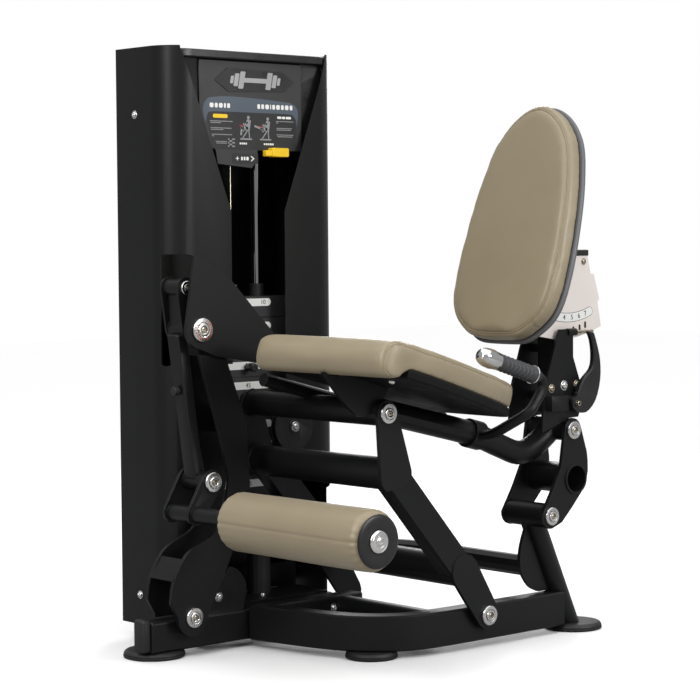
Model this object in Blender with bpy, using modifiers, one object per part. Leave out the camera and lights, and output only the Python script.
"""Seated leg extension machine with a weight tower, built as separate parts.

Frame: +X runs from the front of the machine (where the sitter's feet are)
to the back, +Y runs from the seat to the weight tower, +Z is up.  The origin
is under the centre of the machine, on the floor.  Everything is in metres.
"""
import bpy
import bmesh
from math import atan2, cos, degrees, hypot, pi, radians, sin
from mathutils import Matrix, Vector

# ---------------------------------------------------------------- dimensions
HALF_LENGTH = 0.5800        # half the overall length, between the end feet
HALF_DEPTH = 0.5070         # half the overall depth, roller end to tower back
GAP = 0.0003                # clearance between parts that touch
FOOT_R = 0.075              # end feet
FOOT_T = 0.018

# pivots, as (x, z); all their axes lie along Y
KNEE = (-0.4305, 0.786)
ARM_LOW = (-0.3955, 0.419)
ROLLER = (-0.4430, 0.344)
POST_BASE = (-0.4560, 0.099)
FRONT_BASE = (0.1435, 0.082)
FRONT_TOP = (-0.1855, 0.594)
REAR_BASE = (0.3495, 0.307)
REAR_TOP = (0.4305, 0.517)
BACK_PIVOT = (0.4250, 0.935)
LEVER_PIVOT = (0.4300, 0.585)
PIN_Y, PIN_Z = -0.2480, 0.7620
PULLEY = (-0.0350, 0.523)

# planes across the machine (y)
LINK_Y = -0.248             # outer face of the near front link plate
LINK_T = 0.010              # link plate thickness
FAR_LINK_Y = 0.2560         # inner face of the far front link plate
POST_Y = 0.1463             # outer face of the near knee post plate
POST_FAR_Y = 0.2400         # inner face of the far knee post plate
REAR_NEAR_Y = -0.263
REAR_FAR_Y = -0.130
MID_Y = -0.1915             # middle of the rear post, spine and mast

# weight tower
TOWER_X0, TOWER_X1 = -0.4065, 0.1445
TOWER_FRONT = 0.290
TOWER_TOP = 1.475
CAP_Z0 = 1.2220                    # lower edge of the moulded top cap
TOWER_RAIL = 0.030                 # side of the tower to its floor rail
TOWER_BOTTOM = 0.040
BEND_R = 0.076
SHEET = 0.003
TOWER_MID = 0.5 * (TOWER_X0 + TOWER_X1)
OPENING_X0, OPENING_X1 = -0.2155, -0.0425
ROD_SPACING = 0.156
STACK_Y = 0.395
PLATE_L, PLATE_D, PLATE_H = 0.300, 0.110, 0.0490
PLATE_PITCH = 0.0502
LOWER_PLATES = 7
LIFTED_PLATES = 3
HEAD_H = 0.053
STACK_BASE = 0.300

# upholstery
SEAT_TILT = radians(16.0)
SEAT_FRONT = (-0.3760, 0.7344)      # foremost point of the seat, at the pan's level
SEAT_LENGTH = 0.520
SEAT_WIDTH = 0.470
SEAT_BACK_WIDTH = 0.325
SEAT_PAD_T = 0.058
SEAT_PAN_T = 0.022
SEAT_Y = -0.2060
SEAT_ROLL = (0.0440, 0.0100)        # centre of the front roll, along the seat and up
SEAT_ROLL_R = 0.0440
SEAT_PAN_START = 0.0900             # how far behind the front the pan begins
BACK_TILT = radians(16.9)
BACK_FOOT = (0.2090, 0.752)         # lower edge of the backrest's front face
BACK_HEIGHT = 0.614
BACK_WIDTH = 0.364
BACK_TOP_WIDTH = 0.264
BACK_PAD_T = 0.042
BACK_SHELL_T = 0.012
ROLLER_R = 0.070
ROLLER_LENGTH = 0.487

BLACK = (0.020, 0.021, 0.023)

parts = bpy.data.collections.new("leg_extension_machine")
cutters = bpy.data.collections.new("cutters")


# ------------------------------------------------------------------- helpers
def start_scene():
    for ob in list(bpy.data.objects):
        bpy.data.objects.remove(ob, do_unlink=True)
    for col in (parts, cutters):
        bpy.context.scene.collection.children.link(col)


def material(name, colour, roughness, metallic=0.0):
    mat = bpy.data.materials.get(name)
    if mat is None:
        mat = bpy.data.materials.new(name)
        mat.use_nodes = True
        shader = mat.node_tree.nodes["Principled BSDF"]
        shader.inputs["Base Color"].default_value = (*colour, 1.0)
        shader.inputs["Roughness"].default_value = roughness
        shader.inputs["Metallic"].default_value = metallic
    return mat


def paint():
    return material("black_powder_coat", BLACK, 0.45)


def steel():
    return material("satin_steel", (0.62, 0.61, 0.59), 0.28, 1.0)


def chrome():
    return material("chrome", (0.80, 0.80, 0.80), 0.08, 1.0)


def vinyl():
    return material("tan_vinyl", (0.33, 0.27, 0.17), 0.40)


def plastic():
    return material("black_plastic", (0.030, 0.031, 0.034), 0.38)


def rubber():
    return material("black_rubber", (0.022, 0.022, 0.022), 0.75)


def add(name, mesh, mat, smooth=True, collection=None):
    ob = bpy.data.objects.new(name, mesh)
    (collection or parts).objects.link(ob)
    mesh.materials.clear()
    mesh.materials.append(mat)
    if smooth:
        mesh.shade_smooth()
        mesh.set_sharp_from_angle(angle=radians(35))
    return ob


def from_bmesh(name, bm, mat, smooth=True, collection=None):
    bmesh.ops.recalc_face_normals(bm, faces=bm.faces)
    mesh = bpy.data.meshes.new(name)
    bm.to_mesh(mesh)
    bm.free()
    return add(name, mesh, mat, smooth, collection)


def bevel(ob, width, segments=1, angle=40.0):
    mod = ob.modifiers.new("bevel", "BEVEL")
    mod.width = width
    mod.segments = segments
    mod.limit_method = "ANGLE"
    mod.angle_limit = radians(angle)
    return ob


def put_box(bm, low, high):
    size = [high[i] - low[i] for i in range(3)]
    mid = [0.5 * (high[i] + low[i]) for i in range(3)]
    made = bmesh.ops.create_cube(bm, size=1.0)
    bmesh.ops.scale(bm, vec=size, verts=made["verts"])
    bmesh.ops.translate(bm, vec=mid, verts=made["verts"])


def put_rod(bm, start, end, radius, segments=24, end_radius=None):
    """A straight round bar between two points."""
    axis = Vector(end) - Vector(start)
    turn = Vector((0, 0, 1)).rotation_difference(axis).to_matrix().to_4x4()
    place = Matrix.Translation((Vector(start) + Vector(end)) / 2) @ turn
    bmesh.ops.create_cone(
        bm, cap_ends=True, segments=segments, radius1=radius,
        radius2=radius if end_radius is None else end_radius,
        depth=axis.length, matrix=place)


def put_tube(bm, start, end, radius, wall, segments=20):
    """A straight open tube: two rings joined outside, inside and at the ends."""
    axis = Vector(end) - Vector(start)
    turn = Vector((0, 0, 1)).rotation_difference(axis).to_matrix()
    rings = []
    for r, at in ((radius, start), (radius, end), (radius - wall, end), (radius - wall, start)):
        ring = []
        for i in range(segments):
            a = 2 * pi * i / segments
            ring.append(bm.verts.new(Vector(at) + turn @ Vector((r * cos(a), r * sin(a), 0))))
        rings.append(ring)
    for k in range(4):
        one, two = rings[k], rings[(k + 1) % 4]
        for i in range(segments):
            j = (i + 1) % segments
            bm.faces.new((one[i], one[j], two[j], two[i]))


def put_plate(bm, outline, y0, y1):
    """An XZ outline extruded along Y."""
    bottom = [bm.verts.new((x, y0, z)) for x, z in outline]
    face = bm.faces.new(bottom)
    made = bmesh.ops.extrude_face_region(bm, geom=[face])
    top = [v for v in made["geom"] if isinstance(v, bmesh.types.BMVert)]
    bmesh.ops.translate(bm, vec=(0, y1 - y0, 0), verts=top)


def put_slab(bm, outline, z0, z1):
    """An XY outline extruded along Z."""
    bottom = [bm.verts.new((x, y, z0)) for x, y in outline]
    face = bm.faces.new(bottom)
    made = bmesh.ops.extrude_face_region(bm, geom=[face])
    top = [v for v in made["geom"] if isinstance(v, bmesh.types.BMVert)]
    bmesh.ops.translate(bm, vec=(0, 0, z1 - z0), verts=top)


def box(name, low, high, mat, width=0.0, segments=1):
    bm = bmesh.new()
    put_box(bm, low, high)
    ob = from_bmesh(name, bm, mat)
    return bevel(ob, width, segments) if width else ob


def tube_y(name, centre, y0, y1, radius, wall, mat, segments=20):
    bm = bmesh.new()
    put_tube(bm, (centre[0], y0, centre[1]), (centre[0], y1, centre[1]), radius, wall, segments)
    return from_bmesh(name, bm, mat)


def arc(centre, radius, start, end, count=8):
    """Points on an arc, angles in degrees measured from +X towards +Z."""
    cx, cz = centre
    angles = [radians(start + (end - start) * i / count) for i in range(count + 1)]
    return [(cx + radius * cos(a), cz + radius * sin(a)) for a in angles]


def smooth_line(points, steps=6, closed=False):
    """A Catmull-Rom curve through 2-D or 3-D points."""
    n = len(points)
    out = []
    for i in range(n if closed else n - 1):
        if closed:
            p = [Vector(points[(i + k) % n]) for k in (-1, 0, 1, 2)]
        else:
            p = [Vector(points[min(max(i + k, 0), n - 1)]) for k in (-1, 0, 1, 2)]
        for s in range(steps):
            t = s / steps
            out.append(0.5 * ((2 * p[1]) + (p[2] - p[0]) * t
                              + (2 * p[0] - 5 * p[1] + 4 * p[2] - p[3]) * t * t
                              + (3 * p[1] - p[0] - 3 * p[2] + p[3]) * t ** 3))
    if not closed:
        out.append(Vector(points[-1]))
    return [tuple(v) for v in out]


def capsule(one, two, r_one, r_two, count=8):
    """Outline of a link with two round ends, joined by straight sides."""
    dx, dz = two[0] - one[0], two[1] - one[1]
    along = degrees(atan2(dz, dx))
    spread = 90.0 + degrees(atan2(r_two - r_one, hypot(dx, dz)))
    return (arc(one, r_one, along + 180 - (180 - spread), along + 180 + (180 - spread), count)
            + arc(two, r_two, along - spread, along + spread, count))


def tube_bm(points, radius, steps=6, sides=4):
    """A round tube that follows a smooth line, with capped ends, as a bmesh."""
    line = smooth_line(points, steps)
    curve = bpy.data.curves.new("tube_path", "CURVE")
    curve.dimensions = "3D"
    curve.bevel_depth = radius
    curve.bevel_resolution = sides
    curve.use_fill_caps = True
    spline = curve.splines.new("POLY")
    spline.points.add(len(line) - 1)
    for point, co in zip(spline.points, line):
        point.co = (*co, 1.0)
    ob = bpy.data.objects.new("tube_path", curve)
    parts.objects.link(ob)
    graph = bpy.context.evaluated_depsgraph_get()
    mesh = bpy.data.meshes.new_from_object(ob.evaluated_get(graph))
    bpy.data.objects.remove(ob, do_unlink=True)
    bm = bmesh.new()
    bm.from_mesh(mesh)
    bmesh.ops.remove_doubles(bm, verts=bm.verts, dist=0.00002)
    bpy.data.meshes.remove(mesh)
    bmesh.ops.recalc_face_normals(bm, faces=bm.faces)
    return bm


def bent_tube(name, points, radius, mat, steps=6, sides=4):
    return from_bmesh(name, tube_bm(points, radius, steps, sides), mat)


def cut(ob, cutter_bm, name):
    """Subtract a closed shape from a part."""
    tool = from_bmesh(name, cutter_bm, paint(), False, cutters)
    tool.hide_render = True
    tool.display_type = "WIRE"
    mod = ob.modifiers.new(name, "BOOLEAN")
    mod.operation = "DIFFERENCE"
    mod.solver = "EXACT"
    mod.object = tool
    return ob


def weld(ob, added_bm, name):
    """Join a closed shape, which overlaps the part, to it."""
    tool = from_bmesh(name, added_bm, paint(), False, cutters)
    tool.hide_render = True
    tool.display_type = "WIRE"
    mod = ob.modifiers.new(name, "BOOLEAN")
    mod.operation = "UNION"
    mod.solver = "EXACT"
    mod.object = tool
    return ob


def plate_bm(outline, y0, y1):
    bm = bmesh.new()
    put_plate(bm, outline, y0, y1)
    return bm


def rod_bm(centre, y0, y1, radius, segments=20):
    bm = bmesh.new()
    put_rod(bm, (centre[0], y0, centre[1]), (centre[0], y1, centre[1]), radius, segments)
    return bm


def bar_bm(start, end, radius, segments=20):
    bm = bmesh.new()
    put_rod(bm, start, end, radius, segments)
    return bm


def box_bm(low, high):
    bm = bmesh.new()
    put_box(bm, low, high)
    return bm


def y_cutter(centre, radius, y0, y1, segments=24):
    bm = bmesh.new()
    put_rod(bm, (centre[0], y0, centre[1]), (centre[0], y1, centre[1]), radius, segments)
    return bm


def cap(name, centre, y, radius=0.0245, height=0.010):
    """A turned pivot cap standing out towards -Y: a wide disc with a raised hub."""
    x, z = centre
    rim = y - height * 0.7
    ob = from_bmesh(name, bar_bm((x, y, z), (x, rim, z), radius), steel())
    return weld(ob, bar_bm((x, y - 0.001, z), (x, y - height, z), radius * 0.62, 12), name + "_hub")


# ---------------------------------------------------------------- base frame
def offset_strip(points, half):
    """A closed outline at half a width either side of an XY line."""
    left, right = [], []
    for i, point in enumerate(points):
        before = Vector(points[max(i - 1, 0)])
        after = Vector(points[min(i + 1, len(points) - 1)])
        run = (after - before).normalized()
        side = Vector((-run.y, run.x)) * half
        left.append(tuple(Vector(point) + side))
        right.append(tuple(Vector(point) - side))
    return left + right[::-1]


BEAM_Z0, BEAM_Z1 = FOOT_T + GAP, 0.104
RAIL_Z1 = 0.093
NEAR_BEAM_Y = -0.203         # centre line of the near beam
RAIL_Y0, RAIL_Y1 = 0.177, 0.227


def base_frame():
    rail = box("front_rail", (-0.5560, RAIL_Y0, BEAM_Z0), (0.115, RAIL_Y1, RAIL_Z1), paint(),
               0.004)
    weld(rail, rail_bracket(), "rail_bracket")
    corner = [(-0.2440, RAIL_Y0 - GAP), (-0.2250, 0.080), (-0.1900, -0.060)]
    bend = [(-0.1450, -0.1400), (-0.0700, -0.1900), (0.030, NEAR_BEAM_Y)]
    line = smooth_line(corner + bend + [(0.200, NEAR_BEAM_Y), (0.440, NEAR_BEAM_Y)], 3)
    bm = bmesh.new()
    put_slab(bm, offset_strip(line, 0.025), BEAM_Z0, BEAM_Z1)
    beam = bevel(from_bmesh("near_beam", bm, paint()), 0.004, 1, 50)
    cut(beam, box_bm((-0.30, RAIL_Y0 - GAP, 0.0), (-0.10, RAIL_Y1, 0.2)), "beam_end_cut")
    tube_y("floor_cross_tube", (0.050, 0.062), NEAR_BEAM_Y + 0.0262, RAIL_Y0 - GAP, 0.030, 0.003,
           paint())
    # two side rails, a rear rail and a plate carry the tower
    y0, y1 = RAIL_Y1 + GAP, HALF_DEPTH - 0.012
    x0, x1 = TOWER_X0 + TOWER_RAIL, TOWER_X1 - TOWER_RAIL - 0.040
    ob = from_bmesh("tower_base", box_bm((x0, y0, BEAM_Z0), (x0 + 0.040, y1, 0.078)), paint())
    weld(ob, box_bm((x1, 0.300, BEAM_Z0), (x1 + 0.040, y1, 0.078)), "tower_right_rail")
    weld(ob, box_bm((x0 + 0.02, y1 - 0.045, BEAM_Z0 + 0.001), (x1 + 0.02, y1 - 0.001, 0.077)),
         "tower_rear_rail")
    weld(ob, box_bm((x0 + 0.01, 0.306, 0.074), (x1 + 0.03, 0.440, 0.084)), "tower_floor_plate")
    box("rail_end_bumper", (-0.5795, RAIL_Y0 + 0.004, BEAM_Z0 + 0.004),
        (-0.5563, RAIL_Y1 - 0.004, 0.100), rubber(), 0.006, 2)


FEET = {
    "foot_left": (-HALF_LENGTH + FOOT_R, 0.240, FOOT_R),
    "foot_right": (HALF_LENGTH - FOOT_R, -0.1915, FOOT_R),
    "foot_front": (-0.1375, -0.133, 0.0635),
    "foot_rear_left": (TOWER_X0 + 0.050, 0.455, 0.035),
    "foot_rear_right": (TOWER_X1 - 0.0145, 0.455, 0.035),
}


def feet():
    for name, (x, y, r) in FEET.items():
        bm = bmesh.new()
        put_rod(bm, (x, y, 0), (x, y, FOOT_T), r, 24, r - 0.004)
        from_bmesh(name, bm, rubber())


def rear_post():
    low = Vector((0.4880, MID_Y, FOOT_T - 0.010))
    high = Vector((0.3520, MID_Y, 0.300))
    ob = from_bmesh("rear_post", bar_bm(low, high, 0.030, 24), paint())
    y0, y1 = REAR_NEAR_Y + LINK_T + GAP, REAR_FAR_Y - GAP
    weld(ob, rod_bm(REAR_BASE, y0, y1, 0.031), "post_barrel")
    edge = [(0.3330, 0.280), (0.3180, 0.245), (0.3080, 0.205), (0.3120, 0.165), (0.3400, 0.125),
            (0.3740, 0.108)]
    gusset = smooth_line(edge, 3) + [(0.4250, 0.1080), (0.3650, 0.2700)]
    weld(ob, plate_bm(gusset, MID_Y - 0.005, MID_Y + 0.005), "post_gusset")
    cut(ob, box_bm((0.20, -0.30, -0.02), (0.4405, -0.10, BEAM_Z1 + GAP)), "post_beam_notch")
    cut(ob, box_bm((0.20, -0.30, -0.05), (0.62, -0.10, FOOT_T + GAP)), "post_foot_cut")
    cut(ob, y_cutter(REAR_BASE, 0.0180, -0.30, -0.10, 20), "post_bore")
    tie = [(0.3450, MID_Y + 0.0053, 0.175), (0.3450, 0.000, 0.175), (0.3450, 0.150, 0.175),
           (0.3250, 0.260, 0.175), (0.2600, 0.315, 0.175), (TOWER_X1 + SHEET + 0.001, 0.322, 0.175)]
    bent_tube("rear_cross_tube", tie, 0.026, paint(), 3, 3)


# ----------------------------------------------------------------- knee post
def knee_post():
    """Curved plate pair that stands by the front rail and reaches the knee pivot."""
    left = [(-0.5220, 0.139), (-0.5140, 0.189), (-0.4760, 0.250), (-0.4280, 0.277),
            (-0.3900, 0.294), (-0.3640, 0.330), (-0.3480, 0.400), (-0.3470, 0.435),
            (-0.3670, 0.519)]
    foot = arc(POST_BASE, 0.046, 300, 175, 6)
    outline = (foot + smooth_line(left, 3) + [(-0.4330, 0.727), (-0.3500, 0.716),
               (-0.2900, 0.560), (-0.2800, 0.400), (-0.3100, 0.300), (-0.3550, 0.205)])
    y0, y1 = POST_Y, POST_FAR_Y
    ob = from_bmesh("knee_post", plate_bm(outline, y0, y0 + LINK_T), paint())
    weld(ob, plate_bm(outline, y1, y1 + LINK_T), "post_far_plate")
    for name, x, z in (("post_cross_low", -0.4950, 0.214), ("post_cross_high", -0.3150, 0.560)):
        slope = radians(55) if name == "post_cross_low" else radians(97)
        dx, dz = 0.030 * cos(slope), 0.030 * sin(slope)
        nx, nz = 0.004 * sin(slope), -0.004 * cos(slope)
        strip = [(x - dx - nx, z - dz - nz), (x + dx - nx, z + dz - nz),
                 (x + dx + nx, z + dz + nz), (x - dx + nx, z - dz + nz)]
        weld(ob, plate_bm(strip, y0 + 0.004, y1 + 0.004), name)
    cut(ob, box_bm((-0.60, RAIL_Y0 - GAP, -0.10), (-0.20, RAIL_Y1 + 0.030, RAIL_Z1 + GAP)),
        "post_rail_notch")


def rail_bracket():
    """Outline of the low plate that stands on the front rail beside the knee post."""
    plate = (arc((-0.330, 0.143), 0.062, 80, -28, 6)
             + [(-0.2790, 0.0850), (-0.4050, 0.0850), (-0.4050, 0.110)])
    shape = [(x, max(z, RAIL_Z1 - 0.008)) for x, z in plate]
    return plate_bm(shape, RAIL_Y0 + 0.001, RAIL_Y0 + 0.009)


def knee_bracket():
    """Plate in front of the shroud that holds the knee pivot."""
    boss = arc(KNEE, 0.046, 168, 262, 6)
    outline = (boss + [(-0.3890, 0.7220), (-0.2500, 0.6980), (-0.1600, 0.6980)]
               + smooth_line([(-0.1500, 0.712), (-0.2180, 0.780), (-0.3330, 0.896)], 3)
               + smooth_line([(-0.3325, 0.8965), (-0.4000, 0.940), (-0.4480, 0.962)], 2))
    y = POST_Y - LINK_T - GAP
    ob = from_bmesh("knee_pivot_plate", plate_bm(outline, y, y + LINK_T), paint())
    weld(ob, box_bm((-0.2850, y + 0.004, 0.796), (-0.2400, TOWER_FRONT - GAP, 0.808)),
         "pivot_plate_upper_tie")
    weld(ob, box_bm((-0.2850, y + 0.004, 0.7240), (-0.2250, TOWER_FRONT - GAP, 0.736)),
         "pivot_plate_lower_tie")


# --------------------------------------------------------------------- tower
def shroud_line(x_edge, inner):
    """XY line of one shroud wall: side, bend, front; mirrored by the caller."""
    r = BEND_R - inner
    x0, y0 = TOWER_X0 + inner, TOWER_FRONT + inner
    bend = [(x0 + r - r * cos(radians(a)), y0 + r - r * sin(radians(a))) for a in range(0, 91, 10)]
    return [(x0, HALF_DEPTH)] + bend + [(x_edge, y0)]


def shroud(name, mirrored):
    edge = OPENING_X0 if not mirrored else OPENING_X1
    reach = TOWER_X0 + TOWER_X1 - OPENING_X1 if mirrored else OPENING_X0
    outline = shroud_line(reach, 0.0) + shroud_line(reach, SHEET)[::-1]
    if mirrored:
        outline = [(TOWER_X0 + TOWER_X1 - x, y) for x, y in outline][::-1]
    bm = bmesh.new()
    put_slab(bm, outline, TOWER_BOTTOM, TOWER_TOP)
    ob = from_bmesh(name, bm, paint())
    # the front edge runs outward towards the top
    sign = -1 if mirrored else 1
    top_x = edge - sign * (0.1260 + 0.02)
    bm = bmesh.new()
    put_plate(bm, [(edge + sign * 0.02, 1.012), (edge + sign * 0.02, 1.60),
                   (top_x - sign * 0.02, 1.60), (top_x - sign * 0.0010, 1.4650),
                   (edge, 1.070)], TOWER_FRONT - 0.02, TOWER_FRONT + 0.06)
    cut(ob, bm, name + "_v_edge")
    return ob


def shrouds():
    left = shroud("left_shroud", False)
    bm = bmesh.new()
    slot = (arc((-0.3950, 0.930), 0.035, 180, 90, 4) + arc((-0.3550, 0.930), 0.035, 90, 0, 4)
            + [(-0.3200, 0.716), (-0.3950, 0.690), (-0.4400, 0.716)])
    put_plate(bm, slot, TOWER_FRONT - 0.02, TOWER_FRONT + 0.048)
    cut(left, bm, "arm_slot")
    bm = bmesh.new()
    put_box(bm, (-0.3450, TOWER_FRONT - 0.02, 0.0), (-0.20, TOWER_FRONT + 0.05, 0.690))
    cut(left, bm, "lower_front_cut")
    x0 = TOWER_X0 + TOWER_RAIL
    cut(left, box_bm((x0 - 0.001, TOWER_FRONT - 0.02, 0.0), (x0 + 0.06, 0.40, 0.079)),
        "rail_notch")
    right = shroud("right_shroud", True)
    bm = bmesh.new()
    put_plate(bm, [(-0.06, 0.395), (0.0900, 0.395), (0.160, 0.330), (0.1600, 0.0), (-0.06, 0.0)],
              TOWER_FRONT - 0.02, TOWER_FRONT + 0.06)
    cut(right, bm, "foot_cut")
    weld(right, rod_bm(PULLEY, 0.2650, TOWER_FRONT + SHEET - 0.0005, 0.0065, 12), "pulley_axle")
    box("rear_panel", (TOWER_X0 + SHEET + GAP, HALF_DEPTH - 0.008, 0.085),
        (TOWER_X1 - SHEET - GAP, HALF_DEPTH - 0.004, 1.440), paint())


def tower_frame():
    x0, x1 = TOWER_X0 + SHEET + 0.002, TOWER_X1 - SHEET - 0.002
    y0, y1 = 0.4420, 0.4780
    ob = from_bmesh("tower_frame", box_bm((x0, y0 - 0.040, 1.400), (x1, y1, 1.436)), paint())
    for side, x in (("left", TOWER_X0 + TOWER_RAIL + 0.003),
                    ("right", TOWER_X1 - TOWER_RAIL - 0.037)):
        weld(ob, box_bm((x, y0, 0.0783), (x + 0.034, y1, 1.410)), f"tower_{side}_upright")
    for side in (-1, 1):
        y = STACK_Y + side * 0.0190
        weld(ob, box_bm((TOWER_MID - 0.020, y - 0.003, 1.300),
                        (TOWER_MID + 0.020, y + 0.003, 1.4160)), f"hanger_{side}")
    weld(ob, rod_bm((TOWER_MID, 1.330), STACK_Y - 0.020, STACK_Y + 0.020, 0.0065, 12),
         "top_pulley_axle")
    weld(ob, box_bm((TOWER_MID - 0.10, STACK_Y - 0.024, 1.4010),
                    (TOWER_MID + 0.10, STACK_Y + 0.024, 1.4180)), "hanger_bridge")
    # moulded cap: a rounded frame whose rim stands around the placard
    half = shroud_line(TOWER_MID, SHEET + 0.001)[1:-1]
    back = TOWER_FRONT + 0.082
    outline = [(half[0][0], back)] + half
    outline += [(TOWER_X0 + TOWER_X1 - x, y) for x, y in outline[::-1]]
    bm = bmesh.new()
    put_slab(bm, outline, CAP_Z0, 1.4680)
    ob = from_bmesh("top_cap", bm, plastic())
    recess = rounded_rect(x0 + 0.030, x1 - 0.030, 1.100, 1.4480, 0.022)
    cut(ob, plate_bm(recess, TOWER_FRONT - 0.02, TOWER_FRONT + 0.026), "cap_recess")
    cut(ob, box_bm((x0 + 0.045, TOWER_FRONT + 0.033, 1.0), (x1 - 0.045, 0.50, 1.4400)),
        "cap_hollow")


def rounded_rect(x0, x1, z0, z1, r, count=5):
    return (arc((x1 - r, z1 - r), r, 0, 90, count) + arc((x0 + r, z1 - r), r, 90, 180, count)
            + arc((x0 + r, z0 + r), r, 180, 270, count) + arc((x1 - r, z0 + r), r, 270, 360, count))


def placard():
    x0, x1 = TOWER_MID - 0.165, TOWER_MID + 0.165
    y0 = TOWER_FRONT + 0.0215
    tab = [(-0.2470, 1.2270), (-0.2400, 1.1880), (-0.1300, 1.1790), (-0.1120, 1.2010),
           (-0.1120, CAP_Z0 + 0.002)]
    outline = [(x0, 1.445), (x0, CAP_Z0 + 0.002)] + tab + [(x1, CAP_Z0 + 0.002), (x1, 1.445)]
    from_bmesh("placard", plate_bm(outline, y0, y0 + 0.004),
               material("charcoal_placard", (0.045, 0.048, 0.052), 0.5))
    ob = from_bmesh("add_on_weight_lever",
                    box_bm((-0.0950, y0 - 0.022, CAP_Z0 - 0.0140),
                           (-0.0250, y0 - 0.0005, CAP_Z0 + 0.009)),
                    material("yellow_plastic", (0.85, 0.52, 0.02), 0.35))
    bevel(ob, 0.005)


# -------------------------------------------------------------- weight stack
def put_stack(bm, z0, count):
    """Weight plates in contact: one block with a groove at each joint."""
    y0, y1, depth = STACK_Y - PLATE_D / 2, STACK_Y + PLATE_D / 2, 0.003
    groove = PLATE_PITCH - PLATE_H
    front, back = [], []
    for i in range(count):
        low = z0 + i * PLATE_PITCH
        front += [(y0, low), (y0, low + PLATE_H)]
        back += [(y1, low), (y1, low + PLATE_H)]
        if i < count - 1:
            front += [(y0 + depth, low + PLATE_H), (y0 + depth, low + PLATE_H + groove)]
            back += [(y1 - depth, low + PLATE_H), (y1 - depth, low + PLATE_H + groove)]
    outline = front + back[::-1]
    face = bm.faces.new([bm.verts.new((TOWER_MID - PLATE_L / 2, y, z)) for y, z in outline])
    made = bmesh.ops.extrude_face_region(bm, geom=[face])
    moved = [v for v in made["geom"] if isinstance(v, bmesh.types.BMVert)]
    bmesh.ops.translate(bm, vec=(PLATE_L, 0, 0), verts=moved)


def drill(ob, z0, z1):
    """Holes for the two guide rods and the selector stem."""
    for label, x, r in (("left", -ROD_SPACING / 2, 0.0155), ("right", ROD_SPACING / 2, 0.0155),
                        ("stem", 0.0, 0.0150)):
        place = (TOWER_MID + x, STACK_Y)
        cut(ob, bar_bm((*place, z0), (*place, z1), r, 12), f"{ob.name}_{label}_hole")


def weight_stack():
    iron = material("stack_iron", (0.030, 0.030, 0.032), 0.55)
    top = STACK_BASE + LOWER_PLATES * PLATE_PITCH
    head = top + LIFTED_PLATES * PLATE_PITCH
    for name, z, count in (("lower_weight_plates", STACK_BASE, LOWER_PLATES),
                           ("lifted_weight_plates", top, LIFTED_PLATES)):
        bm = bmesh.new()
        put_stack(bm, z, count)
        drill(from_bmesh(name, bm, iron), 0.1, 1.2)
    low = (TOWER_MID - PLATE_L / 2, STACK_Y - PLATE_D / 2, head)
    high = (TOWER_MID + PLATE_L / 2, STACK_Y + PLATE_D / 2, head + HEAD_H)
    ob = from_bmesh("head_plate", box_bm(low, high), iron)
    rods = [(TOWER_MID + side * ROD_SPACING / 2, STACK_Y) for side in (-1, 1)]
    for i, place in enumerate(rods):
        weld(ob, bar_bm((*place, head + HEAD_H - 0.002), (*place, head + HEAD_H + 0.032), 0.0190, 16),
             f"bush_{i}")
    drill(ob, 0.1, 1.2)
    rod = bar_bm((TOWER_MID, STACK_Y, STACK_BASE + 0.020), (TOWER_MID, STACK_Y, head + HEAD_H + 0.030),
                 0.0135, 12)
    from_bmesh("selector_stem", rod, steel())
    place, face = (TOWER_MID, top + PLATE_H / 2), STACK_Y - PLATE_D / 2
    pin = from_bmesh("selector_pin", rod_bm(place, face - 0.034, face - GAP, 0.0120, 12),
                     plastic())
    weld(pin, rod_bm(place, face - 0.010, STACK_Y + 0.030, 0.0045, 12), "selector_pin_shaft")
    for held in ("lifted_weight_plates", "selector_stem"):
        cut(bpy.data.objects[held], y_cutter(place, 0.0055, 0.30, STACK_Y + 0.032, 12),
            held + "_pin_hole")
    for label, place in zip(("left", "right"), rods):
        from_bmesh(f"guide_rod_{label}", bar_bm((*place, 0.0843), (*place, 1.3995), 0.0125, 16),
                   chrome())
        bm = bmesh.new()
        put_tube(bm, (*place, 0.0843), (*place, STACK_BASE - GAP), 0.030, 0.0170, 16)
        from_bmesh(f"stack_cushion_{label}", bm, rubber())


def pulleys():
    top = (TOWER_MID, 1.330)
    ob = from_bmesh("top_pulley", rod_bm(top, STACK_Y - 0.013, STACK_Y + 0.013, 0.050, 28),
                    plastic())
    groove(ob, top, STACK_Y, 0.050)
    cut(ob, y_cutter(top, 0.0080, 0.30, 0.50, 20), "top_pulley_bore")
    y0, y1 = 0.2690, 0.2870
    ob = from_bmesh("drive_pulley", rod_bm(PULLEY, y0, y1, 0.062, 28), plastic())
    weld(ob, rod_bm(PULLEY, y0 - 0.002, y1 + 0.0025, 0.0170, 16), "pulley_hub")
    groove(ob, PULLEY, 0.5 * (y0 + y1), 0.062)
    cut(ob, y_cutter(PULLEY, 0.0075, 0.20, 0.32, 16), "pulley_bore")


def groove(ob, centre, y, radius):
    """Round belt groove around a pulley's rim."""
    bm = bmesh.new()
    put_tube(bm, (centre[0], y - 0.006, centre[1]), (centre[0], y + 0.006, centre[1]),
             radius + 0.010, 0.018, 24)
    cut(ob, bm, ob.name + "_groove")


# ------------------------------------------------------------- exercise arm
ARM_MID = 0.2040


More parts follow.
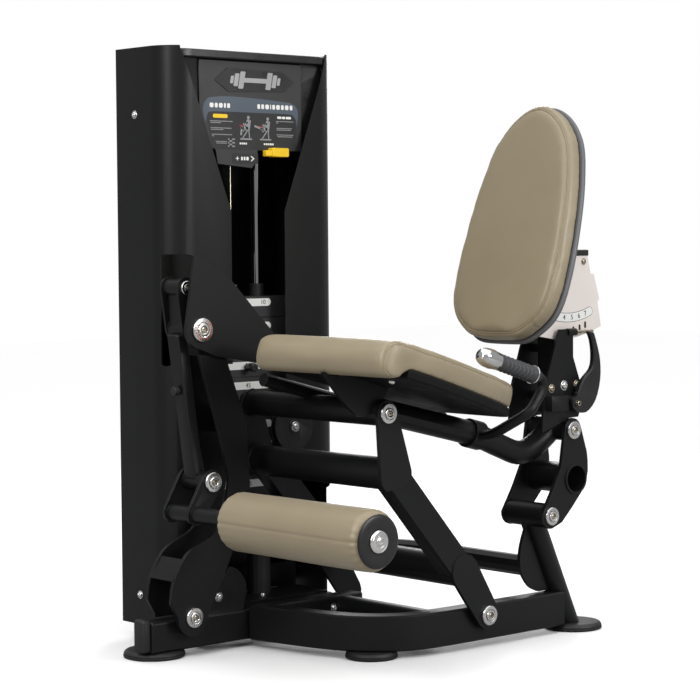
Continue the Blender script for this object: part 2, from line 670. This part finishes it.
def exercise_arm():
    top = Vector((KNEE[0] - 0.024, KNEE[1] - 0.010))
    low = Vector((ARM_LOW[0] - 0.010, ARM_LOW[1] + 0.006))
    half_y, half_t = 0.022, 0.015
    run = (low - top).normalized()
    side = Vector((-run.y, run.x)) * half_t
    shape = [tuple(v) for v in (top - side, low - side, low + side, top + side)]
    ob = from_bmesh("exercise_arm", plate_bm(shape, ARM_MID - half_y, ARM_MID + half_y), paint())
    bevel(ob, 0.004)
    clevis = (KNEE[0] - 0.020, KNEE[1] + 0.100)
    barrels = (("knee_barrel", KNEE, POST_Y + GAP, 0.2395, 0.0290, 0.0130),
               ("low_barrel", ARM_LOW, POST_Y + LINK_T + 0.0010, 0.2387, 0.0240, 0.0110),
               ("clevis_barrel", clevis, 0.1765, 0.2395, 0.0210, 0.0080))
    for name, centre, y0, y1, radius, bore in barrels:
        weld(ob, rod_bm(centre, y0, y1, radius), name)
    web = [(KNEE[0] - 0.002, KNEE[1] + 0.015), (KNEE[0] - 0.026, KNEE[1] + 0.010),
           (clevis[0] - 0.012, clevis[1] - 0.010), (clevis[0] + 0.008, clevis[1] - 0.010)]
    weld(ob, plate_bm(web, ARM_MID - 0.018, ARM_MID + 0.022), "clevis_web")
    for y in (0.1700, 0.2340):
        weld(ob, plate_bm(capsule(clevis, KNEE, 0.026, 0.031, 6), y, y + 0.0067), f"clevis_side_{y}")
    for name, centre, y0, y1, radius, bore in barrels:
        cut(ob, y_cutter(centre, bore, y0 - 0.02, y1 + 0.02, 16), name + "_bore")
    cap("clevis_cap", clevis, 0.1700 - GAP, 0.017, 0.008)
    knob = (top.x + (low.x - top.x) * 0.39 - 0.0150, top.y + (low.y - top.y) * 0.39)
    from_bmesh("arm_stop_knob", bar_bm((knob[0] - 0.0010, ARM_MID, knob[1]),
                                       (knob[0] - 0.0170, ARM_MID, knob[1] - 0.001), 0.011, 16),
               rubber())


def roller_link():
    near_y, far_y = POST_Y, 0.2393
    shape = capsule(ARM_LOW, ROLLER, 0.030, 0.0270, 6)
    ob = from_bmesh("roller_link", plate_bm(shape, near_y, near_y + LINK_T), paint())
    weld(ob, plate_bm(shape, far_y, far_y + LINK_T), "link_far_plate")
    weld(ob, rod_bm(ROLLER, -0.4930, far_y + 0.014, 0.0200, 24), "link_shaft")
    cap("roller_link_cap", ARM_LOW, POST_Y - GAP)


def roller():
    y0, y1 = -HALF_DEPTH + 0.0130, -HALF_DEPTH + 0.0130 + ROLLER_LENGTH
    bm = bmesh.new()
    segments, edge = 28, 0.022
    rings = []
    profile = [(0.0206, y0), (ROLLER_R - edge, y0)]
    profile += [(ROLLER_R - edge + edge * sin(radians(a)), y0 + edge - edge * cos(radians(a)))
                for a in (45, 90)]
    profile += [(ROLLER_R - edge + edge * cos(radians(a)), y1 - edge + edge * sin(radians(a)))
                for a in (0, 45, 90)]
    profile += [(0.0206, y1)]
    for r, y in profile:
        rings.append([bm.verts.new((ROLLER[0] + r * cos(2 * pi * i / segments), y,
                                    ROLLER[1] + r * sin(2 * pi * i / segments)))
                      for i in range(segments)])
    for k in range(len(rings)):
        one, two = rings[k], rings[(k + 1) % len(rings)]
        for i in range(segments):
            j = (i + 1) % segments
            bm.faces.new((one[i], one[j], two[j], two[i]))
    from_bmesh("roller_pad", bm, vinyl())
    bm = bmesh.new()
    put_tube(bm, (ROLLER[0], y0 - GAP, ROLLER[1]), (ROLLER[0], y0 - 0.0055, ROLLER[1]), 0.0600,
             0.0330, 24)
    from_bmesh("roller_end_disc", bm, plastic())
    bm = bmesh.new()
    put_rod(bm, (ROLLER[0], y0 - GAP, ROLLER[1]), (ROLLER[0], -HALF_DEPTH + 0.003, ROLLER[1]),
            0.0260, 20, 0.0235)
    ob = from_bmesh("roller_hub_cap", bm, steel())
    weld(ob, rod_bm(ROLLER, -HALF_DEPTH, -HALF_DEPTH + 0.006, 0.0080, 12), "hub_screw")


# --------------------------------------------------------------- front link
def front_link():
    knuckle = (-0.1560, 0.4480)
    elbow = (0.0660, 0.1970)
    upper = (arc(FRONT_TOP, 0.031, 175, 10, 6)
             + arc((knuckle[0] + 0.002, 0.4470), 0.0450, 12, -40, 3)
             + arc((knuckle[0] - 0.006, 0.4460), 0.0450, 230, 188, 3))
    lower = capsule(elbow, FRONT_BASE, 0.043, 0.036, 6)
    ob = from_bmesh("front_link", rod_bm(knuckle, LINK_Y + 0.005, FAR_LINK_Y + 0.005, 0.0385, 24),
                    paint())
    weld(ob, rod_bm(elbow, LINK_Y + 0.005, FAR_LINK_Y + 0.005, 0.0385, 24), "link_lower_tube")
    for side, y in (("near", LINK_Y), ("far", FAR_LINK_Y)):
        weld(ob, plate_bm(upper, y, y + LINK_T), f"link_{side}_upper_plate")
        weld(ob, plate_bm(lower, y, y + LINK_T), f"link_{side}_lower_plate")
    run = (Vector(elbow) - Vector(knuckle)).normalized()
    side = Vector((-run.y, run.x)) * 0.0340
    shape = [tuple(v) for v in (Vector(knuckle) - side, Vector(elbow) - side,
                                Vector(elbow) + side, Vector(knuckle) + side)]
    for name, y in (("near", LINK_Y + 0.003), ("far", FAR_LINK_Y + 0.007 - 0.050)):
        weld(ob, plate_bm(shape, y, y + 0.050), f"link_{name}_diagonal")
    cap("front_link_top_cap", FRONT_TOP, LINK_Y - GAP)
    cap("front_link_base_cap", FRONT_BASE, LINK_Y - GAP)


# ----------------------------------------------------------------- carriage
def carriage():
    """Welded seat carriage: pivot tube, spine, rear barrel, gusset, rail, handles."""
    y0, y1 = LINK_Y + LINK_T + GAP, FAR_LINK_Y - GAP
    ob = from_bmesh("carriage_frame", rod_bm(FRONT_TOP, y0, y1, 0.031, 24), paint())
    spine = [(-0.1860, MID_Y, 0.602), (0.0000, MID_Y, 0.558), (0.1500, MID_Y, 0.520),
             (0.2350, MID_Y, 0.488), (0.3050, MID_Y, 0.464), (0.3600, MID_Y, 0.476),
             (0.4150, MID_Y, 0.510)]
    weld(ob, tube_bm(spine, 0.0300, 4, 4), "spine_tube")
    run = (Vector((0.150, 0.520)) - Vector((0.0, 0.558))).normalized()
    start = Vector((0.1280, 0.5255))
    end = start + run * 0.042
    weld(ob, bar_bm((start.x, MID_Y, start.y), (end.x, MID_Y, end.y), 0.0360, 20), "spine_collar")
    weld(ob, rod_bm(REAR_TOP, REAR_NEAR_Y + LINK_T + GAP, REAR_FAR_Y - GAP, 0.028), "rear_barrel")
    gusset = [(-0.3660, 0.6980), (-0.3160, 0.6380), (-0.2740, 0.6000), (-0.2440, 0.5880),
              (-0.2160, 0.5970), (-0.1800, 0.6260), (-0.1500, 0.6760)]
    weld(ob, plate_bm(smooth_line(gusset, 3), -0.2290, -0.2180), "seat_gusset")
    weld(ob, bar_bm((-0.3300, 0.030, 0.668), (0.0400, 0.030, 0.5700), 0.0160, 12), "seat_rail")
    weld(ob, bar_bm((-0.0200, 0.035, 0.582), (-0.0200, MID_Y, 0.562), 0.0150, 12), "rail_tie")
    for side in (-1, 1):
        weld(ob, tube_bm(handlebar_line(side), 0.0130, 4, 3), f"handlebar_{side}")
    cut(ob, seat_keep_out(), "pan_clearance")
    cut(ob, roll_bm(SEAT_ROLL_R + 0.001, SEAT_WIDTH), "roll_clearance")


def seat_point(along, up):
    """Seat coordinates (distance back along the pad, height above it) to x, z."""
    return (SEAT_FRONT[0] + along * cos(SEAT_TILT) + up * sin(SEAT_TILT),
            SEAT_FRONT[1] - along * sin(SEAT_TILT) + up * cos(SEAT_TILT))


def seat_outline(grow=0.0):
    """Seat outline in (distance back, y): wide front with a tapered rear."""
    w0, w1 = SEAT_WIDTH / 2 + grow, SEAT_BACK_WIDTH / 2 + grow
    half = [(-grow, 0.0), (-grow, w0 - 0.035), (0.010 - grow, w0 - 0.008), (0.035, w0),
            (0.170, w0 - 0.002), (0.300, w0 - 0.022), (0.430, w1 + 0.022),
            (SEAT_LENGTH - 0.030, w1), (SEAT_LENGTH + grow - 0.006, w1 - 0.012),
            (SEAT_LENGTH + grow, w1 - 0.040)]
    return half[1:] + [(a, -y) for a, y in half[1:][::-1]]


def put_seat_slab(bm, x0, x1, up0, up1, width):
    """A rectangular slab in the seat's tilted frame."""
    corners = [(x0, up0), (x1, up0), (x1, up1), (x0, up1)]
    put_plate(bm, [seat_point(*c) for c in corners], SEAT_Y - width, SEAT_Y + width)


def seat_keep_out():
    bm = bmesh.new()
    put_seat_slab(bm, -0.10, SEAT_LENGTH + 0.02, -SEAT_PAN_T - GAP, 0.20, 0.40)
    return bm


def roll_bm(radius, width):
    """A round bar along the seat's front roll."""
    return rod_bm(seat_point(*SEAT_ROLL), SEAT_Y - width, SEAT_Y + width, radius, 32)


def seat_body(name, grow, up0, up1, mat):
    bm = bmesh.new()
    outline = seat_outline(grow)
    low = [bm.verts.new((*seat_point(a, up0)[:1], SEAT_Y + y, seat_point(a, up0)[1]))
           for a, y in outline]
    face = bm.faces.new(low)
    made = bmesh.ops.extrude_face_region(bm, geom=[face])
    top = [v for v in made["geom"] if isinstance(v, bmesh.types.BMVert)]
    shift = Vector((sin(SEAT_TILT), 0, cos(SEAT_TILT))) * (up1 - up0)
    bmesh.ops.translate(bm, vec=shift, verts=top)
    return from_bmesh(name, bm, mat)


def seat():
    pan = seat_body("seat_pan", -0.004, -SEAT_PAN_T, -GAP, plastic())
    bm = bmesh.new()
    put_seat_slab(bm, -0.10, SEAT_PAN_START + GAP, -0.10, 0.10, 0.40)
    cut(pan, bm, "pan_front_cut")
    # the pad is a slab whose front edge is a roll that hangs below the pan
    across, up = SEAT_ROLL
    pad = seat_body("seat_pad", 0.0, up - SEAT_ROLL_R, SEAT_PAD_T, vinyl())
    low = up - SEAT_ROLL_R - 0.01
    nose = [(across + SEAT_ROLL_R * cos(radians(a)), up + SEAT_ROLL_R * sin(radians(a)))
            for a in range(90, 271, 15)]
    front = nose + [(across, low), (-0.05, low), (-0.05, SEAT_PAD_T + 0.02),
                    (SEAT_PAN_START, SEAT_PAD_T + 0.02), (SEAT_PAN_START, SEAT_PAD_T)]
    cut(pad, plate_bm([seat_point(*p) for p in front], -0.60, 0.20), "pad_nose")
    under = [(across, up - SEAT_ROLL_R), (across + 0.026, up - SEAT_ROLL_R * 0.80),
             (SEAT_PAN_START, -0.0010), (SEAT_PAN_START, 0.0), (SEAT_LENGTH + 0.05, 0.0),
             (SEAT_LENGTH + 0.05, low), (across, low)]
    cut(pad, plate_bm([seat_point(*p) for p in under], -0.60, 0.20), "pad_underside")
    bevel(pad, 0.010, 2, 60)


# ----------------------------------------------------------------- handles
GRIP_TILT = radians(17.0)
GRIP_BASE = (0.2135, 0.6660)        # where the grip starts, as (x, z)
GRIP_MID = -0.1850                  # halfway between the two handles
GRIP_REACH = 0.160                  # from there to a handle
GRIP_R, GRIP_END_R = 0.0210, 0.0240


def grip_point(side, along):
    x, z = GRIP_BASE
    return (x - along * cos(GRIP_TILT), GRIP_MID + side * GRIP_REACH, z + along * sin(GRIP_TILT))


def handlebar_line(side):
    """From the spine collar out to the side, up, and forward into the grip."""
    y = GRIP_MID + side * GRIP_REACH
    return [(0.1400, MID_Y, 0.5160), (0.1480, MID_Y + side * 0.0600, 0.5230),
            (0.1600, MID_Y + side * 0.1100, 0.5480), (0.1850, y, 0.5800), (0.2120, y, 0.6060),
            (0.2310, y, 0.6330), (0.2310, y, 0.6540), grip_point(side, -0.0020),
            grip_point(side, 0.0080)]


def handles():
    for name, side in (("near", -1), ("far", 1)):
        bm = bmesh.new()
        put_rod(bm, grip_point(side, 0.0120), grip_point(side, 0.1600), GRIP_R, 24)
        ob = from_bmesh(f"grip_{name}", bm, material("grip_rubber", (0.075, 0.078, 0.085), 0.6))
        bm = bmesh.new()
        put_rod(bm, grip_point(side, 0.1580), grip_point(side, 0.2050), GRIP_END_R, 24, 0.0170)
        weld(ob, bm, f"grip_{name}_end")


# ------------------------------------------------------------- back support
def back_posts():
    """Plate pair rising from the rear barrel, with the backrest mast between them."""
    outline = [(0.4300, 0.5470), (0.3990, 0.5360), (0.3300, 0.5150), (0.3400, 0.6200),
               (0.3740, 0.7200), (0.3950, 0.7700), (0.4440, 0.7700), (0.4440, 0.7000),
               (0.4700, 0.6350), (0.4720, 0.5700), (0.4620, 0.5480)]
    y0, y1 = -0.2520, -0.1380
    ob = from_bmesh("backrest_post", plate_bm(outline, y0, y0 + 0.007), paint())
    weld(ob, plate_bm(outline, y1, y1 + 0.007), "post_far_side")
    weld(ob, box_bm((0.4050, MID_Y - 0.0250, 0.5600), (0.4400, MID_Y + 0.0250, 0.9200)), "mast")
    for x, z in ((0.4220, 0.6000), (0.4220, 0.7200)):
        weld(ob, box_bm((x - 0.010, y0 + 0.003, z - 0.010), (x + 0.010, y1 + 0.003, z + 0.010)),
             f"mast_spacer_{z}")
    weld(ob, rod_bm(BACK_PIVOT, MID_Y - 0.0300, MID_Y + 0.0300, 0.0175), "backrest_barrel")
    weld(ob, box_bm((0.3450, -0.2720, 0.5680), (0.4060, -0.2480, 0.6060)), "lever_bracket")
    pin = (PIN_Y, PIN_Z)
    weld(ob, bar_bm((0.4250, *pin), (0.4560, *pin), 0.0095, 16), "pin_guide")
    cut(ob, bar_bm((0.4290, *pin), (0.4660, *pin), 0.0055, 16), "pin_guide_bore")
    cut(ob, y_cutter(BACK_PIVOT, 0.0115, -0.30, -0.10, 16), "backrest_pivot_bore")


def back_point(up, out):
    """Backrest coordinates (height along the pad, distance behind its face)."""
    return (BACK_FOOT[0] + up * sin(BACK_TILT) + out * cos(BACK_TILT),
            BACK_FOOT[1] + up * cos(BACK_TILT) - out * sin(BACK_TILT))


def back_outline(grow=0.0):
    """Backrest outline in (height, y): widest below the middle, narrowing to a round top."""
    w0, w1 = BACK_WIDTH / 2 + grow, BACK_TOP_WIDTH / 2 + grow
    h = BACK_HEIGHT
    half = [(-grow, w0 - 0.118), (0.006 - grow, w0 - 0.090), (0.026, w0 - 0.062),
            (0.052, w0 - 0.030), (0.092, w0 - 0.009), (0.150, w0 - 0.001), (0.234, w0),
            (0.364, w0 - 0.011), (0.460, w0 - 0.031), (0.515, w1), (0.557, w1 - 0.030),
            (0.588, w1 - 0.064), (0.606 + grow, w1 - 0.098), (h + grow, w1 - 0.124)]
    return half + [(u, -y) for u, y in half[::-1]]


def back_body(name, grow, out0, out1, mat):
    bm = bmesh.new()
    low = []
    for up, y in back_outline(grow):
        x, z = back_point(up, out0)
        low.append(bm.verts.new((x, MID_Y + y, z)))
    face = bm.faces.new(low)
    made = bmesh.ops.extrude_face_region(bm, geom=[face])
    top = [v for v in made["geom"] if isinstance(v, bmesh.types.BMVert)]
    shift = Vector((cos(BACK_TILT), 0, -sin(BACK_TILT))) * (out1 - out0)
    bmesh.ops.translate(bm, vec=shift, verts=top)
    return from_bmesh(name, bm, mat)


def backrest():
    bevel(back_body("backrest_pad", 0.0, 0.0, BACK_PAD_T, vinyl()), 0.014, 2, 60)
    rear = BACK_PAD_T + BACK_SHELL_T
    back_body("back_shell", 0.0005, BACK_PAD_T + GAP, rear,
              material("grey_plastic", (0.10, 0.105, 0.115), 0.4))
    bone = material("warm_silver_plate", (0.62, 0.57, 0.52), 0.4, 0.5)
    top, low = back_point(0.232, rear + 0.0010), back_point(0.030, rear + 0.0010)
    outline = [top, (0.5150, 0.9600), (0.5281, 0.9080), (0.5401, 0.9060), (0.5610, 0.8420),
               (0.5540, 0.8350), (0.5669, 0.7730), (0.5220, 0.7580), (0.4711, 0.7472),
               (0.4000, 0.7440), low]
    ob = from_bmesh("quadrant_frame", plate_bm(outline, -0.2350, -0.2310), bone)
    weld(ob, plate_bm(outline, -0.1520, -0.1480), "quadrant_far_plate")
    weld(ob, rod_bm(BACK_PIVOT, -0.2330, -0.1500, 0.0110), "backrest_pivot_pin")
    weld(ob, box_bm((top[0] + 0.0150, -0.2370, 0.9540), (0.5180, -0.1460, 0.9680)), "quadrant_cap")


def release_lever():
    y0, y1 = -0.2800, -0.2560
    paddle = smooth_line([(0.4300, 0.5640), (0.4683, 0.5600), (0.5030, 0.5880), (0.5208, 0.6388),
                          (0.5209, 0.6894), (0.5097, 0.7300), (0.4980, 0.7600)], 3)
    paddle += smooth_line([(0.4770, 0.7640), (0.4895, 0.7400), (0.4950, 0.7031), (0.4880, 0.6700),
                           (0.4550, 0.6420), (0.4350, 0.6040)], 3)
    ob = from_bmesh("release_lever", plate_bm(paddle, -0.2760, -0.2600), plastic())
    bevel(ob, 0.003, 1, 50)
    weld(ob, rod_bm(LEVER_PIVOT, y0, y1, 0.0185, 20), "lever_hub")
    weld(ob, rod_bm(LEVER_PIVOT, y0 - 0.006, y0 + 0.004, 0.0085, 12), "lever_screw")
    bm = bmesh.new()
    put_rod(bm, (0.4310, PIN_Y, PIN_Z), (0.5220, PIN_Y, PIN_Z), 0.0045, 12)
    from_bmesh("release_pin", bm, steel())


# ---------------------------------------------------------------- rear link
def rear_link():
    near = (arc(REAR_TOP, 0.030, 150, 20, 6) + smooth_line([(0.4820, 0.4600), (0.4860, 0.4100),
                                                            (0.4640, 0.3600), (0.3900, 0.2880)], 2)
            + arc(REAR_BASE, 0.032, 300, 175, 6) + [(0.3560, 0.3700), (0.3880, 0.4300)])
    hole = (0.4394, 0.3936)
    ob = from_bmesh("rear_link", plate_bm(near, REAR_NEAR_Y, REAR_NEAR_Y + LINK_T), paint())
    weld(ob, plate_bm(near, REAR_FAR_Y, REAR_FAR_Y + LINK_T), "rear_far_plate")
    weld(ob, rod_bm(hole, REAR_NEAR_Y - 0.004, REAR_FAR_Y + LINK_T + 0.004, 0.0385, 24), "rear_tube")
    cut(ob, y_cutter(hole, 0.0330, -0.30, -0.10, 24), "rear_tube_bore")
    cap("rear_link_top_cap", REAR_TOP, REAR_NEAR_Y - GAP, 0.0230)
    cap("rear_link_base_cap", REAR_BASE, REAR_NEAR_Y - GAP, 0.0230)


def frame_caps():
    cap("knee_pivot_cap", KNEE, POST_Y - LINK_T - 2 * GAP, 0.0290)
    cap("post_base_cap", POST_BASE, POST_Y - GAP)


def main():
    start_scene()
    base_frame()
    feet()
    rear_post()
    knee_post()
    knee_bracket()
    shrouds()
    tower_frame()
    placard()
    weight_stack()
    pulleys()
    exercise_arm()
    roller_link()
    roller()
    front_link()
    carriage()
    seat()
    handles()
    back_posts()
    backrest()
    release_lever()
    rear_link()
    frame_caps()


main()
